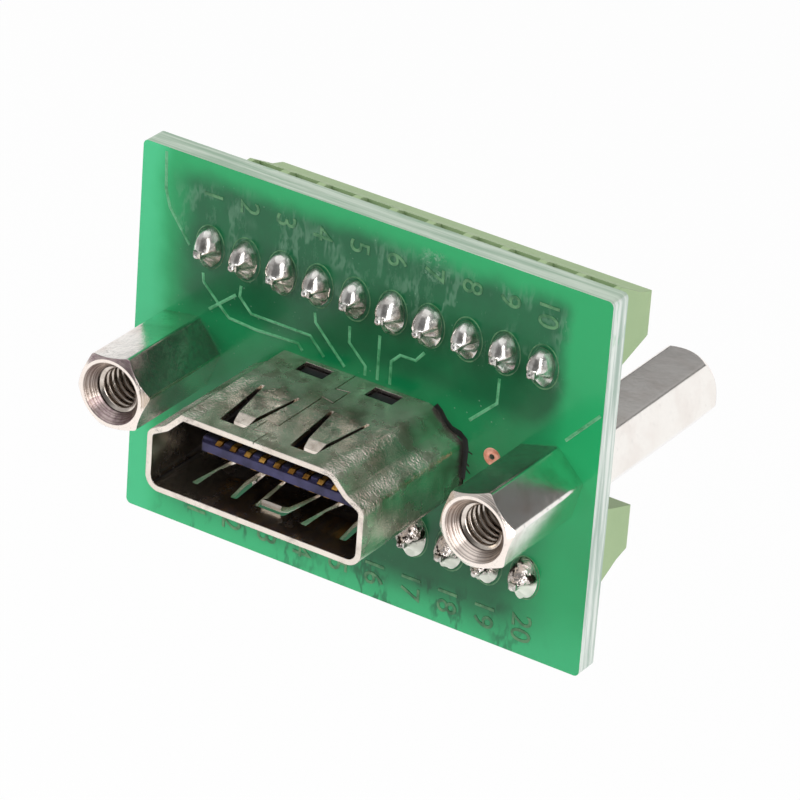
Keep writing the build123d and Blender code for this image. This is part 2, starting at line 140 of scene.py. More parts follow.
# Shader maths: a signal is a socket that can stand in a sum
class Signal:
    def __init__(self, wiring, socket):
        self.wiring = wiring
        self.socket = socket

    def maths(self, operation, *others):
        sockets = dict(enumerate(others))
        return self.wiring.add("ShaderNodeMath", {"operation": operation}, sockets)

    def __add__(self, other):
        return self.maths("ADD", self, other)

    def __radd__(self, other):
        return self.maths("ADD", other, self)

    def __sub__(self, other):
        return self.maths("SUBTRACT", self, other)

    def __rsub__(self, other):
        return self.maths("SUBTRACT", other, self)

    def __mul__(self, other):
        return self.maths("MULTIPLY", self, other)

    def __pow__(self, other):
        return self.maths("POWER", self, other)

    def size(self):
        return self.maths("ABSOLUTE", self)

    def ramp(self, low, high):  # 0 below low, 1 above high, smooth between
        return self.wiring.add(
            "ShaderNodeMapRange",
            {"interpolation_type": "SMOOTHSTEP"},
            {"Value": self, "From Min": low, "From Max": high},
        )


class Wiring:
    def __init__(self, tree):
        self.tree = tree
        tree.nodes.clear()

    def add(self, kind, settings=None, sockets=None, output=0):
        node = self.tree.nodes.new(kind)
        for key, value in (settings or {}).items():
            setattr(node, key, value)
        for key, value in (sockets or {}).items():
            self.feed(node.inputs[key], value)
        return Signal(self, node.outputs[output])

    def feed(self, socket, value):
        if isinstance(value, Signal):
            self.tree.links.new(value.socket, socket)
        else:
            socket.default_value = value

    def parts(self, vector):
        split = self.tree.nodes.new("ShaderNodeSeparateXYZ")
        self.feed(split.inputs[0], vector)
        return [Signal(self, output) for output in split.outputs]

    def blend(self, factor, first, second):
        return self.add(
            "ShaderNodeMix", {"data_type": "RGBA"}, {0: factor, 6: first, 7: second}, output=2
        )


class Finish(Wiring):
    def __init__(self, name, **fixed):
        self.material = bpy.data.materials.new(name)
        self.material.use_nodes = True
        super().__init__(self.material.node_tree)
        shader = self.tree.nodes.new("ShaderNodeBsdfPrincipled")
        output = self.tree.nodes.new("ShaderNodeOutputMaterial")
        self.tree.links.new(shader.outputs[0], output.inputs[0])
        self.shader = shader
        for key, value in fixed.items():
            shader.inputs[key.replace("_", " ")].default_value = value
        self.place = self.add("ShaderNodeTexCoord", output="Object")
        self.normal = None

    def axes(self):
        return self.parts(self.place)

    def facing(self):  # parts of the surface's own direction
        return self.parts(self.add("ShaderNodeNewGeometry", output="True Normal"))

    def grain(self, scale, detail=3, rough=0.5, stretch=(1, 1, 1), shift=(0, 0, 0)):
        spot = self.add(
            "ShaderNodeMapping", {}, {"Vector": self.place, "Location": shift, "Scale": stretch}
        )
        return self.add(
            "ShaderNodeTexNoise",
            {"noise_dimensions": "3D"},
            {"Vector": spot, "Scale": scale, "Detail": detail, "Roughness": rough},
        )

    def cells(self, scale):
        return self.add(
            "ShaderNodeTexVoronoi", {"feature": "F1"}, {"Vector": self.place, "Scale": scale}
        )

    def soften(self, radius):  # catches light along the edges of the solid
        self.normal = self.add("ShaderNodeBevel", {"samples": 4}, {"Radius": radius})

    def relief(self, height, depth):  # depth in metres
        sockets = {"Height": height, "Distance": depth, "Strength": 1.0}
        if self.normal:
            sockets["Normal"] = self.normal
        self.normal = self.add("ShaderNodeBump", {}, sockets)

    def wear(self, **sockets):
        for key, value in sockets.items():
            self.feed(self.shader.inputs[key.replace("_", " ")], value)
        if self.normal:
            self.feed(self.shader.inputs["Normal"], self.normal)
        return self.material


# Glossy green coating over glass cloth, with painted shade where the terminal blocks stand
# behind it and painted light round its edges.
# Colours are given, and lengths are in mm. A noise is its scale, detail, roughness
# and stretch.
boardLook = {
    "light": tone(64, 192, 132),
    "middle": tone(24, 160, 94),
    "dark": tone(10, 92, 54),
    "vein": tone(4, 58, 34),
    "residue": tone(142, 182, 156),
    "core": tone(230, 236, 230),
    "coreShade": tone(164, 184, 172),
    "coreTopShade": tone(136, 166, 132),
    "patch": (4.05, 10.9),
    "patchReach": (0.3, 1.4),
    "wander": 1.5,
    "inner": (-3.0, -1.2),
    "litFoot": 5,
    "shadowWest": (-2.3, 0.6),
    "shadowEast": (-0.9, 0.5),
    "shadowFoot": (0.2, 3.0),
    "shadowTop": (-2.0, -0.3),
    "gapReach": (2.4, 4.2),
    "fadeReach": (2.0, 5.0),
    "rightFade": 2.8,
    "rowReach": (1.6, 3.4),
    "rowBelowTop": 1.6,
    "veinTop": (2.4, 3.6),
    "waves": 0.02,
    "relief": 0.014,
    "wanderNoise": (330, 3),
    "cloudNoise": (260, 5, 0.6),
    "veinNoise": (520, 4, 0.62, (1, 1, 0.36)),
    "veinBreaks": (380, 2),
    "hazeNoise": (900, 8, 0.75, (1, 1, 0.35)),
    "speckCells": 2600,
    "speckNoise": (500, 3),
    "crustNoise": (2600, 6, 0.8),
    "streakNoise": (900, 5, 0.65, (0.12, 3.2, 0.12)),
    "tintNoise": (2200, 3, 0.5, (0.2, 1, 0.2)),
    "waveNoise": (300, 2),
    "reliefNoise": (1600, 4),
}


def boardFinish():
    finish = Finish("boardFinish", IOR=1.42, Coat_Weight=0.12, Coat_Roughness=0.08)
    look = boardLook
    x, y, z = finish.axes()
    face = finish.facing()[1].size().ramp(0.6, 0.8)
    blockLow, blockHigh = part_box("upper_terminal_block")
    wander = (finish.grain(*look["wanderNoise"]) - 0.5) * (look["wander"] * mm)
    across = x + wander
    up = z + wander * 0.8
    cloud = finish.grain(*look["cloudNoise"])
    # Painted light outside the blocks and near the foot, painted shade behind the blocks
    inner = across.ramp(*reach(look["inner"], blockLow.x))
    litFoot = 1 - up.ramp(boardLow.z, boardLow.z + look["litFoot"] * mm)
    inner = inner * (1 - litFoot * 0.5)
    shade = finish.blend(inner * 0.95, look["light"], look["middle"])
    fade = (1 - up.ramp(*reach(look["fadeReach"]))) * (look["rightFade"] * mm)
    start, stop = reach(look["shadowEast"], blockHigh.x)
    between = across.ramp(*reach(look["shadowWest"], blockLow.x)) * (
        1 - across.ramp(start - fade, stop + fade * 0.3)
    )
    shadow = between * up.ramp(*reach(look["shadowFoot"], boardLow.z)) * (
        1 - up.ramp(*reach(look["shadowTop"], boardHigh.z))
    )
    gap = 1 - up.size().ramp(*reach(look["gapReach"]))  # painted shade is weaker between the two blocks
    shade = finish.blend(shadow * (0.72 + cloud * 0.5 - gap * 0.4), shade, look["dark"])
    rowHeight = blockHigh.z - look["rowBelowTop"] * mm
    nearRow = 1 - (z - rowHeight).size().ramp(*reach(look["rowReach"]))
    runs = 1 - (finish.grain(*look["veinNoise"]) - 0.5).size().ramp(0.004, 0.05)
    veins = runs * finish.grain(*look["veinBreaks"]).ramp(0.4, 0.6)
    below = 1 - up.ramp(*reach(look["veinTop"], boardLow.z))
    shade = finish.blend(veins * below * between * 0.6, shade, look["vein"])
    haze = finish.grain(*look["hazeNoise"]).ramp(0.54, 0.72) * nearRow * between
    specks = 1 - finish.cells(look["speckCells"]).ramp(0.05, 0.16)
    specks = specks * finish.grain(*look["speckNoise"]).ramp(0.5, 0.68)
    eastward = x - look["patch"][0] * mm
    upward = z - look["patch"][1] * mm
    distance = (eastward * eastward + upward * upward) ** 0.5
    spread = 1 - distance.ramp(*reach(look["patchReach"]))
    crust = finish.grain(*look["crustNoise"]).ramp(0.5, 0.6) * spread
    pale = haze * 0.18 + veins * nearRow * between * 0.24 + specks * shadow * 0.5 + crust * 0.7
    shade = finish.blend(pale, shade, look["residue"])
    streak = finish.grain(*look["streakNoise"]).ramp(0.35, 0.65)
    core = finish.blend(streak, look["core"], look["coreShade"])
    tint = finish.grain(*look["tintNoise"]).ramp(0.62, 0.72) * 0.35
    core = finish.blend(tint, core, look["middle"])
    # Painted shade: edges that face up are darker and greener
    core = finish.blend(finish.facing()[2].ramp(0.6, 0.8) * 0.45, core, look["coreTopShade"])
    finish.relief(finish.grain(*look["waveNoise"]) * face, look["waves"] * mm)
    rough = pale + finish.grain(*look["reliefNoise"]) * 0.25 + streak * (1 - face) * 0.5
    finish.relief(rough, look["relief"] * mm)
    return finish.wear(
        Base_Color=finish.blend(face, core, shade),
        Roughness=0.62 - face * 0.42 + haze * 0.25 + cloud * 0.06,
    )


# Nickel over folded sheet, with gritty folds, scratches, stains and heat marks, a painted
# highlight on front-facing faces, and lowered metalness on the top and folds as painted sheen
shellLook = {
    "plate": tone(240, 233, 222),
    "dullAndFacetShade": tone(182, 171, 158),
    "stain": tone(104, 84, 68),
    "rimHighlight": tone(250, 238, 227),
    "heat": tone(80, 62, 52),
    "heatSide": 2.4,
    "heatBack": 5.0,
    "heatReach": (0.5, 2.3),
    "edge": 0.07,
    "topBand": (-2, -1.6),
    "foldSide": 4.9,
    "foldReach": (0.2, 0.8),
    "foldTop": (-0.9, -0.5),
    "kneeHeight": 3.9,
    "kneeReach": (0.2, 0.7),
    "kneeSide": (6.1, 6.8),
    "gritAndSheenDepth": (4, 9),
    "waves": 0.06,
    "grit": 0.17,
    "heatRelief": 0.045,
    "scratch": 0.012,
    "gritAndSheenNoise": (330, 3, 0.6),
    "cloudNoise": (420, 5, 0.6),
    "pitNoise": (7000, 3),
    "gritNoise": (6800, 2),
    "scratchNoise": (2600, 4, 0.7, (1, 0.06, 1)),
    "stainNoise": (620, 5, 0.62, (1, 1, 1), (0.4, 0.2, 0.9)),
    "heatNoise": (800, 4, 0.6),
    "waveNoise": (420, 2),
    "heatReliefNoise": (1500, 3),
}


def shellFinish():
    finish = Finish("shellFinish")
    look = shellLook
    finish.soften(look["edge"] * mm)
    x, y, z = finish.axes()
    upper = finish.facing()[2].ramp(0.4, 0.9)
    upper = upper * z.ramp(*reach(look["topBand"], shellHigh.z))
    side = (x - (shellLow.x + shellHigh.x) / 2).size()
    topFold = 1 - (side - look["foldSide"] * mm).size().ramp(*reach(look["foldReach"]))
    topFold = topFold * z.ramp(*reach(look["foldTop"], shellHigh.z))
    kneeHeight = shellLow.z + look["kneeHeight"] * mm
    knee = 1 - (z - kneeHeight).size().ramp(*reach(look["kneeReach"]))
    knee = knee * side.ramp(*reach(look["kneeSide"]))
    # Where the folds are gritty and carry painted sheen, strongest at the front
    gritAndSheen = finish.grain(*look["gritAndSheenNoise"]).ramp(0.36, 0.58) * (
        1 - y.ramp(*reach(look["gritAndSheenDepth"], shellLow.y)) * 0.75
    )
    folds = (topFold + knee) * gritAndSheen
    cloud = finish.grain(*look["cloudNoise"])
    pits = finish.grain(*look["pitNoise"])
    grit = finish.grain(*look["gritNoise"]) ** 1.6
    scratch = finish.grain(*look["scratchNoise"]).ramp(0.6, 0.7)
    stain = finish.grain(*look["stainNoise"]).ramp(0.52, 0.68)
    base = finish.blend(cloud.ramp(0.35, 0.7), look["plate"], look["dullAndFacetShade"])
    aside = side - look["heatSide"] * mm
    behind = (y - shellLow.y - look["heatBack"] * mm) * 0.8
    distance = (aside * aside + behind * behind) ** 0.5
    spread = 1 - distance.ramp(*reach(look["heatReach"]))
    heat = spread * upper * finish.grain(*look["heatNoise"]).ramp(0.36, 0.58)
    base = finish.blend(heat * 0.5, base, look["heat"])
    # Painted highlight: faces turned to the front get a bright tone
    rimHighlight = 1 - finish.facing()[1].ramp(-0.95, -0.7)
    base = finish.blend(rimHighlight * 0.7, base, look["rimHighlight"])
    base = finish.blend(stain * (0.5 - rimHighlight * 0.2), base, look["stain"])
    finish.relief(finish.grain(*look["waveNoise"]), look["waves"] * mm)
    finish.relief(grit * folds, look["grit"] * mm)
    finish.relief(finish.grain(*look["heatReliefNoise"]) * heat, look["heatRelief"] * mm)
    finish.relief(scratch * 0.35 + pits * 0.25, look["scratch"] * mm)
    # Lowered metalness on the top and on the folds is painted sheen
    return finish.wear(
        Base_Color=base,
        Metallic=1.0 - upper * 0.1 - folds * 0.16,
        Roughness=0.17 + cloud * 0.12 + stain * 0.12,
    )


# Bright nickel on drawn hexagon bar, with turned rings at the ends, a painted highlight on the
# end faces, painted shade on two facets and on one side of each countersink, and painted shade
# inside the bore
standoffLook = {
    "plate": tone(248, 244, 239),
    "warm": tone(228, 216, 209),
    "pitted": tone(150, 142, 138),
    "rimHighlight": tone(255, 243, 234),
    "groove": tone(112, 92, 82),
    "facetShade": tone(176, 152, 158),
    "inside": tone(58, 50, 44),
    "frontReach": (-0.2, 0),
    "halves": (-1, 1),
    "westFacet": (0.4, 0.5, 0.8, 0.9),
    "eastFacet": (0.86, 0.92),
    "bore": (1.41, 1.46),
    "seat": (1.9, 2.0),
    "shaded": (-1.7, -0.5),
    "ringScale": 16000,
    "edge": 0.09,
    "waves": 0.016,
    "grain": 0.013,
    "rings": 0.01,
    "drawnNoise": (2400, 3, 0.6, (1, 0.05, 1)),
    "mottleNoise": (3600, 5, 0.72),
    "cloudNoise": (500, 3),
    "waveNoise": (420, 2),
}


def standoffFinish():
    finish = Finish("standoffFinish")
    look = standoffLook
    finish.soften(look["edge"] * mm)
    drawn = finish.grain(*look["drawnNoise"])
    mottle = finish.grain(*look["mottleNoise"])
    cloud = finish.grain(*look["cloudNoise"])
    x, y, z = finish.axes()
    front = 1 - y.ramp(*reach(look["frontReach"], boardFront))
    warmth = cloud.ramp(0.4, 0.7) * (0.3 + front * 0.7)
    base = finish.blend(warmth, look["plate"], look["warm"])
    along, upward = finish.facing()[1:]
    end = along.size().ramp(0.3, 0.5)
    # Painted highlight on the end faces
    base = finish.blend(end, base, look["rimHighlight"])
    pitted = mottle.ramp(0.54, 0.7) * (0.1 + front * 0.3) * (1 - end * 0.6)
    base = finish.blend(pitted, base, look["pitted"])
    # Painted shade on two facets of the front standoffs
    west = 1 - x.ramp(*reach(look["halves"]))
    first, second, third, fourth = look["westFacet"]
    westFacet = upward.ramp(first, second) * (1 - upward.ramp(third, fourth)) * west
    eastFacet = upward.ramp(*look["eastFacet"]) * (1 - west)
    dullAndFacetShade = (westFacet + eastFacet) * front * (0.6 + mottle.ramp(0.4, 0.66) * 0.4)
    base = finish.blend(dullAndFacetShade, base, look["facetShade"])
    low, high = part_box("front_standoff_right")
    aside = x.size() - (low.x + high.x) / 2
    radius = (aside * aside + z * z) ** 0.5
    turned = finish.add(
        "ShaderNodeTexNoise",
        {"noise_dimensions": "1D"},
        {"W": radius, "Scale": look["ringScale"], "Detail": 2.0},
    )
    cone = end * (1 - radius.ramp(*reach(look["seat"])))
    grooves = turned.ramp(0.44, 0.62) * cone
    # Painted shade on one side of each countersink, in the grooves' tone
    eastward = aside * (1 - west * 2)
    shaded = (1 - eastward.ramp(*reach(look["shaded"]))) * cone
    base = finish.blend(grooves * 0.5, base, look["groove"])
    base = finish.blend(shaded * (0.35 + turned * 0.6), base, look["groove"])
    # Painted shade inside the bore
    inside = 1 - radius.ramp(*reach(look["bore"]))
    base = finish.blend(inside, base, look["inside"])
    finish.relief(finish.grain(*look["waveNoise"]), look["waves"] * mm)
    finish.relief(mottle * 0.6 + drawn * 0.3, look["grain"] * mm)
    finish.relief(turned * end, look["rings"] * mm)
    return finish.wear(
        Base_Color=base,
        Roughness=0.1 + mottle * 0.1 + cloud * 0.05 + cone * 0.12,
        Metallic=1.0 - dullAndFacetShade * 0.03,
    )


# Pale green moulded plastic
blockLook = {
    "light": tone(174, 195, 150),
    "deep": tone(143, 171, 125),
    "edge": 0.06,
    "skin": 0.01,
    "cloudNoise": (240, 4),
    "skinNoise": (5200, 3),
    "flowNoise": (700, 3, 0.5, (0.25, 1, 1)),
}


def blockFinish():
    finish = Finish("blockFinish", IOR=1.46)
    look = blockLook
    finish.soften(look["edge"] * mm)
    cloud = finish.grain(*look["cloudNoise"])
    skin = finish.grain(*look["skinNoise"])
    flow = finish.grain(*look["flowNoise"])
    base = finish.blend(cloud * 0.55 + flow * 0.25, look["light"], look["deep"])
    finish.relief(skin + flow * 0.5, look["skin"] * mm)
    return finish.wear(Base_Color=base, Roughness=0.5 + skin * 0.16)


# Dark moulded insulator, with painted shade that makes it near black behind its nose
insulatorLook = {
    "light": tone(72, 70, 112),
    "deep": tone(42, 40, 68),
    "dark": tone(20, 19, 26),
    "darkFrom": (0.25, 0.7),
    "edge": 0.05,
    "skin": 0.012,
    "cloudNoise": (900, 4),
    "skinNoise": (6500, 3),
}


def insulatorFinish():
    finish = Finish("insulatorFinish", IOR=1.5)
    look = insulatorLook
    finish.soften(look["edge"] * mm)
    cloud = finish.grain(*look["cloudNoise"])
    skin = finish.grain(*look["skinNoise"])
    low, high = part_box("socket_housing")
    # Painted shade behind the nose, inside the shell
    behind = finish.axes()[1].ramp(*reach(look["darkFrom"], low.y))
    base = finish.blend(cloud.ramp(0.35, 0.7), look["light"], look["deep"])
    base = finish.blend(behind, base, look["dark"])
    finish.relief(skin, look["skin"] * mm)
    return finish.wear(Base_Color=base, Roughness=0.42 + cloud * 0.2)


# Metals that differ in colour, gloss and grain
metalLooks = {
    "contactFinish": {
        "colours": (tone(226, 176, 92), tone(150, 104, 52)), "gloss": 0.22, "scale": 2600,
        "grain": 6000, "depth": 0.006, "stretch": (1, 0.12, 1),
    },
    "solderFinish": {
        "colours": (tone(240, 238, 234), tone(190, 184, 178)), "gloss": 0.13, "scale": 1100,
        "grain": 3600, "depth": 0.032, "stretch": (1, 1, 1),
    },
    "stripFinish": {
        "colours": (tone(206, 204, 198), tone(150, 146, 140)), "gloss": 0.28, "scale": 1800,
        "grain": 5000, "depth": 0.008, "stretch": (0.15, 1, 1),
    },
    "screwFinish": {
        "colours": (tone(204, 206, 208), tone(142, 144, 148)), "gloss": 0.26, "scale": 2200,
        "grain": 6500, "depth": 0.008, "stretch": (1, 1, 0.3),
    },
    "cageFinish": {
        "colours": (tone(208, 202, 188), tone(156, 148, 132)), "gloss": 0.24, "scale": 2000,
        "grain": 5600, "depth": 0.008, "stretch": (1, 0.2, 1),
    },
    "threadFinish": {
        "colours": (tone(236, 226, 216), tone(190, 176, 164)), "gloss": 0.12, "scale": 900,
        "grain": 6500, "depth": 0.001, "stretch": (1, 0.2, 1),
    },
    "copperFinish": {
        "colours": (tone(250, 184, 160), tone(226, 138, 108)), "gloss": 0.34, "scale": 2600,
        "grain": 7000, "depth": 0.01, "stretch": (1, 1, 1), "metal": 0.6,
    },
}


def metalFinish(name):
    look = metalLooks[name]
    finish = Finish(name, Metallic=look.get("metal", 1.0))
    cloud = finish.grain(look["scale"], 4, 0.6)
    fine = finish.grain(look["grain"], 3, stretch=look["stretch"])
    base = finish.blend(cloud.ramp(0.38, 0.72), *look["colours"])
    finish.relief(cloud * 0.6 + fine * 0.5, look["depth"] * mm)
    return finish.wear(Base_Color=base, Roughness=look["gloss"] + cloud * 0.12 + fine * 0.06)


# Lower row of solder: crumpled and pitted above, frosted below
frostLook = {
    "frost": tone(240, 240, 230),
    "bright": tone(216, 206, 200),
    "pit": tone(48, 40, 34),
    "frostTop": (-0.3, 0.05),
    "ragged": 0.9,
    "crumple": 0.16,
    "skin": 0.02,
    "crumpleNoise": (1900, 3, 0.65),
    "raggedNoise": (1400, 2),
    "skinNoise": (4600, 3),
}


def frostFinish():
    finish = Finish("frostySolderFinish")
    look = frostLook
    low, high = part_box("lower_solder_joints")
    middle = (low.z + high.z) / 2
    crumple = finish.grain(*look["crumpleNoise"])
    height = finish.axes()[2]
    height = height + (finish.grain(*look["raggedNoise"]) - 0.5) * (look["ragged"] * mm)
    upper = height.ramp(*reach(look["frostTop"], middle))
    base = finish.blend(upper, look["frost"], look["bright"])
    pits = crumple.ramp(0.52, 0.58) * upper
    base = finish.blend(pits, base, look["pit"])
    finish.relief(crumple * upper, look["crumple"] * mm)
    finish.relief(finish.grain(*look["skinNoise"]), look["skin"] * mm)
    return finish.wear(
        Base_Color=base,
        Roughness=0.5 - upper * 0.3,
        Metallic=0.3 + upper * 0.65,
    )


# Relief under the board's coating: light colour, deep colour, roughness
reliefDepth = 0.01
reliefNoises = {"cloud": (1500, 5, 0.65), "skin": (4500, 3)}
reliefLooks = {
    "traceFinish": (tone(96, 176, 126), tone(44, 134, 82), 0.24),
    "numberFinish": (tone(88, 142, 96), tone(34, 100, 58), 0.3),
    "darkFootFinish": (tone(4, 9, 7), tone(18, 28, 22), 0.7),
}


def reliefFinish(name):
    light, deep, gloss = reliefLooks[name]
    finish = Finish(name, IOR=1.5, Coat_Weight=0.2, Coat_Roughness=0.1)
    cloud = finish.grain(*reliefNoises["cloud"])
    finish.relief(finish.grain(*reliefNoises["skin"]), reliefDepth * mm)
    return finish.wear(
        Base_Color=finish.blend(cloud.ramp(0.38, 0.66), light, deep),
        Roughness=gloss + cloud * 0.15,
    )


finishes = {
    "board": boardFinish(),
    "shell": shellFinish(),
    "standoffs": standoffFinish(),
    "block": blockFinish(),
    "insulator": insulatorFinish(),
    "contacts": metalFinish("contactFinish"),
    "solder": metalFinish("solderFinish"),
    "frosty": frostFinish(),
    "strips": metalFinish("stripFinish"),
    "screws": metalFinish("screwFinish"),
    "cages": metalFinish("cageFinish"),
    "copper": metalFinish("copperFinish"),
    "thread": metalFinish("threadFinish"),
    "trace": reliefFinish("traceFinish"),
    "number": reliefFinish("numberFinish"),
    "darkFoot": reliefFinish("darkFootFinish"),
}
for entry in frame["record"]["subparts"]:
    for slot in nodes[entry["node"]].material_slots:
        slot.material = finishes[entry["material_slot"]]
print("finishes made")


# Turned and folded metal keeps its solid's shape, with its round walls smoothed
def smoothTwin(node, slot, body="socket_board", angle=30):
    twin = copyOf(nodes[node], node + "Dressed")
    openMesh(twin)
    bpy.ops.mesh.select_all(action="SELECT")
    bpy.ops.mesh.customdata_custom_splitnormals_clear()
    bpy.ops.mesh.remove_doubles(threshold=2e-7)
    closeMesh()
    roundOff(twin, angle)
    mount(twin, finishes[slot], body)
    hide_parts(node)
    return twin


for end in ("front", "rear"):
    for side in ("left", "right"):
        smoothTwin(f"{end}_standoff_{side}", "standoffs")
smoothTwin("socket_shell", "shell", angle=40)
for entry in frame["record"]["subparts"]:
    if entry["material_slot"] == "screws":
        smoothTwin(entry["node"], "screws", entry["node"].replace("clamp_screw", "screw"))
print("turned and folded pieces smoothed")


# Threads: a ridge that winds along each tapped bore
threadLook = {
    "pitch": 0.5,
    "section": (
        (1.44, -0.19), (1.24, -0.12), (1.16, -0.04), (1.16, 0.04), (1.24, 0.12), (1.44, 0.19),
    ),
    "turns": 10,
    "steps": 36,
    "inset": 0.6,
}


def threadRidge(name, place, turned):
    section = threadLook["section"]
    pitch = threadLook["pitch"] * mm
    bpy.ops.mesh.primitive_circle_add(vertices=len(section), radius=pitch / 2)
    ridge = bpy.context.object
    ridge.name = name
    for vertex, (radius, along) in zip(ridge.data.vertices, section):
        vertex.co = (radius * mm, along * mm, 0)
    winding = ridge.modifiers.new("winding", "SCREW")
    winding.axis = "Y"
    winding.steps = winding.render_steps = threadLook["steps"]
    winding.screw_offset = pitch
    winding.iterations = threadLook["turns"]
    pick(ridge)
    bpy.ops.object.modifier_apply(modifier="winding")
    openMesh(ridge)
    bpy.ops.mesh.select_mode(type="EDGE")
    bpy.ops.mesh.select_non_manifold()
    bpy.ops.mesh.fill()
    closeMesh()
    settle(ridge, place, (0, 0, math.pi if turned else 0))
    outward(ridge)
    roundOff(ridge)
    return mount(ridge, finishes["thread"])


for side in ("left", "right"):
    for end, turned in (("front", False), ("rear", True)):
        low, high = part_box(f"{end}_standoff_{side}")
        inset = (threadLook["inset"] + threadLook["pitch"] / 2) * mm
        mouth = high.y - inset if turned else low.y + inset
        spot = ((low.x + high.x) / 2, mouth, (low.z + high.z) / 2)
        threadRidge(f"{end}Thread{side.capitalize()}", spot, turned)
print("threads cut")


# Solder joints: a fat dome above and a ridged skirt below, drawn out to a nub over the pin
jointLook = {
    "wide": 0.82,
    "tall": 1.32,
    "crown": 1.3,
    "tip": 1.6,
    "nub": 0.27,
    "nubRound": 2.5,
    "skirtTop": (-0.2, 0.12),
    "skirtFall": 0.85,
    "skirtGirth": 0.98,
    "ridge": 0.26,
    "ridgeCount": 7,
    "fullness": (1.9, 2.4),
    "tilt": (-0.3, 0.1),
    "leanAcross": (-0.05, 0.03),
    "leanUp": (-0.07, 0.05),
    "stretch": (-0.05, 0.03),
    "spread": 0.08,
    "dimple": 0.06,
    "dimpleScale": 1300,
    "nubFrom": 0.72,
    "blendPower": 5,
    "stages": 15,
    "sides": 40,
    "seeds": {"upper": 3, "lower": 40},
}


def solderBlank():
    depth = 0.02 * mm
    bpy.ops.mesh.primitive_cylinder_add(
        vertices=jointLook["sides"], radius=mm, depth=depth, end_fill_type="NGON"
    )
    blank = bpy.context.object
    settle(blank, (0, depth / 2, 0), (math.pi / 2, 0, 0))
    openMesh(blank)
    closeMesh()
    for face in blank.data.polygons:
        face.select = face.normal.y < -0.9
    bpy.ops.object.mode_set(mode="EDIT")
    rise = jointLook["tip"] * mm / jointLook["stages"]
    for stage in range(jointLook["stages"]):
        bpy.ops.mesh.extrude_region_move(TRANSFORM_OT_translate={"value": (0, -rise, 0)})
    closeMesh()
    return blank


def smoothStep(low, high, value):
    share = min(1, max(0, (value - low) / (high - low)))
    return share * share * (3 - 2 * share)


def workSolder(joint, seed):
    dice = random.Random(seed)
    phase = dice.uniform(0, 6.3)
    tilt = dice.uniform(*jointLook["tilt"])
    fullness = dice.uniform(*jointLook["fullness"])
    scale = 1 + dice.uniform(-1, 1) * jointLook["spread"]
    lean = [dice.uniform(*jointLook[key]) * mm for key in ("leanAcross", "leanUp")]
    stretch = 1 + dice.uniform(*jointLook["stretch"])
    power = jointLook["blendPower"]
    nubFrom = jointLook["nubFrom"]
    for vertex in joint.data.vertices:
        place = vertex.co
        rise = max(0, -place.y)
        turn = math.atan2(place.z, place.x)
        share = min(1, rise / (jointLook["crown"] * mm))
        upper = smoothStep(*jointLook["skirtTop"], math.sin(turn + tilt))
        dome = (1 - share ** fullness) ** 0.5
        wave = math.sin(jointLook["ridgeCount"] * turn + phase) * share * (1 - share) * 4
        skirt = jointLook["skirtGirth"] + jointLook["ridge"] * wave
        skirt = (1 - share) ** jointLook["skirtFall"] * skirt
        dimple = noise.noise(place * jointLook["dimpleScale"] + Vector((seed, 0, 0)))
        bump = 1 + jointLook["dimple"] * dimple
        girth = (upper * dome + (1 - upper) * skirt) * scale * bump
        across = math.cos(turn) * girth * jointLook["wide"] * mm
        upright = math.sin(turn) * girth * jointLook["tall"] * mm
        end = max(0, rise / (jointLook["tip"] * mm) - nubFrom) / (1 - nubFrom)
        nub = jointLook["nub"] * mm * max(0.12, 1 - end ** jointLook["nubRound"]) ** 0.5
        size = math.hypot(across, upright)
        if size > 1e-6:
            grown = (size ** power + nub ** power) ** (1 / power) / size
            across, upright = across * grown, upright * grown
        else:
            across, upright = math.cos(turn) * nub, math.sin(turn) * nub
        place.x = across + lean[0] * share
        place.z = upright + lean[1] * share
        place.y = -rise * stretch


blank = solderBlank()
for row, finish in (("upper", "solder"), ("lower", "frosty")):
    heap = []
    for pole, spot in enumerate(poleSpots(row)):
        joint = copyOf(blank, f"{row}Joint{pole}")
        workSolder(joint, pole + jointLook["seeds"][row])
        joint.data.transform(Matrix.Translation(spot))
        heap.append(joint)
    joints = fuse(heap, f"{row}SolderMounds")
    roundOff(joints)
    mount(joints, finishes[finish])
    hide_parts(f"{row}_solder_joints")
bpy.data.objects.remove(blank)
print("solder joints made")


# Rings of coating round the solder joints
ringLook = {
    "radius": 1.0,
    "upright": 1.38,
    "thickness": 0.035,
    "flat": 0.5,
    "sides": 44,
    "sectionSides": 8,
}


def flatRing(name, look, place):
    bpy.ops.mesh.primitive_torus_add(
        major_segments=ringLook["sides"],
        minor_segments=ringLook["sectionSides"],
        major_radius=look["radius"] * mm,
        minor_radius=look["thickness"] * mm,
    )
    ring = bpy.context.object
    ring.name = name
    settle(ring, (0, 0, 0), (math.pi / 2, 0, 0))
    settle(ring, (0, 0, 0), (0, 0, 0), (1, look["flat"], look["upright"]))
    settle(ring, place)
    return ring


rings = []
for row in ("upper", "lower"):
    for pole, spot in enumerate(poleSpots(row)):
        rings.append(flatRing(f"ring{row}{pole}", ringLook, spot))
ringPiece = fuse(rings, "coatingRings")
roundOff(ringPiece)
mount(ringPiece, finishes["number"])

